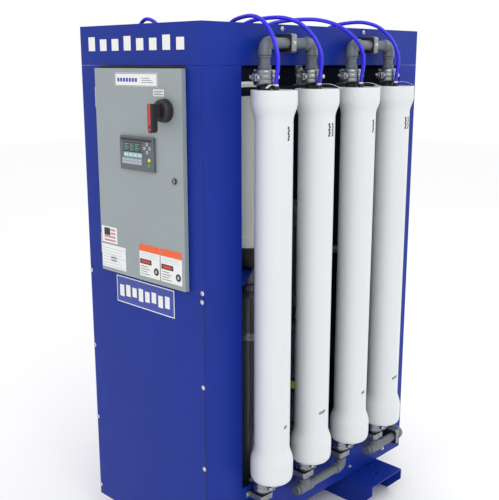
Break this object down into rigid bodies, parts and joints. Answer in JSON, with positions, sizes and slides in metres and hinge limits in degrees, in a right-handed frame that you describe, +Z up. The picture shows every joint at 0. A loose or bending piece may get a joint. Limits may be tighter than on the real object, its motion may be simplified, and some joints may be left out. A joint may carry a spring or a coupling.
{
  "type": "reverse osmosis unit",
  "caption": "Skid-mounted reverse osmosis water unit: blue cabinet, grey control enclosure, white membrane vessels down one side with grey crossovers and blue permeate tubes",
  "frame": {"origin": "centre of the unit's footprint, on the floor", "axes": "+Z up; the control enclosure faces -Y and the membrane vessels stand along +X"},
  "size_m": [0.761, 1.307, 1.8811],
  "materials": {
    "blue_paint": "satin",
    "grey_paint": "satin",
    "black_plastic": "matte",
    "latch_steel": "polished",
    "bezel_plastic": "matte",
    "screen_glass": "gloss",
    "key_grey": "matte",
    "key_green": "gloss",
    "key_yellow": "gloss",
    "white_frp": "satin",
    "cap_black": "matte",
    "zinc_cast": "zinc plated",
    "pvc_grey": "matte",
    "galvanised": "galvanised",
    "blue_tube": "gloss",
    "pump_steel": "satin",
    "motor_paint": "satin",
    "filter_white": "satin"
  },
  "bodies": {
    "cabinet": {"skid_channel_near": "blue_paint", "skid_channel_far": "blue_paint", "base_pan": "blue_paint", "near_side_panel": "blue_paint", "far_side_panel": "blue_paint", "front_surround": "blue_paint", "lower_front_panel": "blue_paint", "left_side_panel": "blue_paint", "back_panel": "blue_paint", "header_band": "blue_paint", "enclosure_box": "grey_paint", "disconnect_switch": "black_plastic", "prefilter_head": "black_plastic", "vessel_shell_1": "white_frp", "vessel_shell_2": "white_frp", "vessel_shell_3": "white_frp", "vessel_shell_4": "white_frp", "vessel_top_cap_1": "cap_black", "vessel_top_cap_2": "cap_black", "vessel_top_cap_3": "cap_black", "vessel_top_cap_4": "cap_black", "top_coupling_1": "zinc_cast", "top_coupling_2": "zinc_cast", "top_coupling_3": "zinc_cast", "top_coupling_4": "zinc_cast", "bottom_coupling_1": "zinc_cast", "bottom_coupling_2": "zinc_cast", "bottom_coupling_3": "zinc_cast", "bottom_coupling_4": "zinc_cast", "crossover_front": "pvc_grey", "crossover_rear": "pvc_grey", "crossover_bottom": "pvc_grey", "feed_pipe": "pvc_grey", "concentrate_pipe": "pvc_grey", "permeate_manifold": "pvc_grey", "product_pipe": "pvc_grey", "inlet_pipe": "pvc_grey", "pipe_clamp_front": "galvanised", "pipe_clamp_rear": "galvanised", "permeate_tube_1": "blue_tube", "permeate_tube_2": "blue_tube", "permeate_tube_3": "blue_tube", "permeate_tube_4": "blue_tube", "product_tube": "blue_tube", "pump_casing": "pump_steel", "pump_motor": "motor_paint", "booster_canister": "motor_paint", "prefilter_sump": "filter_white"},
    "door": {"enclosure_door": "grey_paint", "controller_housing": "bezel_plastic", "controller_screen": "screen_glass"},
    "disconnect": {"disconnect_handle": "black_plastic"},
    "latch": {"door_latch": "latch_steel"},
    "key_up": {"key_up": "key_grey"},
    "key_down": {"key_down": "key_grey"},
    "key_left": {"key_left": "key_grey"},
    "key_right": {"key_right": "key_grey"},
    "key_run": {"key_run": "key_green"},
    "key_alarm": {"key_alarm": "key_yellow"},
    "pump_rotor": {"pump_shaft": "pump_steel"}
  },
  "joints": [
    {"name": "door_hinge", "type": "hinge", "parent": "cabinet", "child": "door", "pos_m": [-0.2867, -0.5765, 1.365], "axis": [0, 0, -1], "range_deg": [0, 110]},
    {"name": "latch_turn", "type": "hinge", "parent": "door", "child": "latch", "pos_m": [0.1175, -0.5865, 1.37], "axis": [0, 1, 0], "range_deg": [0, 90]},
    {"name": "disconnect_turn", "type": "hinge", "parent": "door", "child": "disconnect", "pos_m": [0.0835, -0.5865, 1.585], "axis": [0, 1, 0], "range_deg": [0, 90]},
    {"name": "key_up_press", "type": "slide", "parent": "door", "child": "key_up", "axis": [0, 1, 0], "range_m": [0, 0.0013], "stiffness_N_per_m": 300, "springref_m": -0.001},
    {"name": "key_down_press", "type": "slide", "parent": "door", "child": "key_down", "axis": [0, 1, 0], "range_m": [0, 0.0013], "stiffness_N_per_m": 300, "springref_m": -0.001},
    {"name": "key_left_press", "type": "slide", "parent": "door", "child": "key_left", "axis": [0, 1, 0], "range_m": [0, 0.0013], "stiffness_N_per_m": 300, "springref_m": -0.001},
    {"name": "key_right_press", "type": "slide", "parent": "door", "child": "key_right", "axis": [0, 1, 0], "range_m": [0, 0.0013], "stiffness_N_per_m": 300, "springref_m": -0.001},
    {"name": "key_alarm_press", "type": "slide", "parent": "door", "child": "key_alarm", "axis": [0, 1, 0], "range_m": [0, 0.0013], "stiffness_N_per_m": 300, "springref_m": -0.001},
    {"name": "key_run_press", "type": "slide", "parent": "door", "child": "key_run", "axis": [0, 1, 0], "range_m": [0, 0.0013], "stiffness_N_per_m": 300, "springref_m": -0.001},
    {"name": "pump_spin", "type": "hinge", "parent": "cabinet", "child": "pump_rotor", "pos_m": [-0.0365, 0.2, 0.605], "axis": [0, 0, 1], "continuous": true}
  ]
}
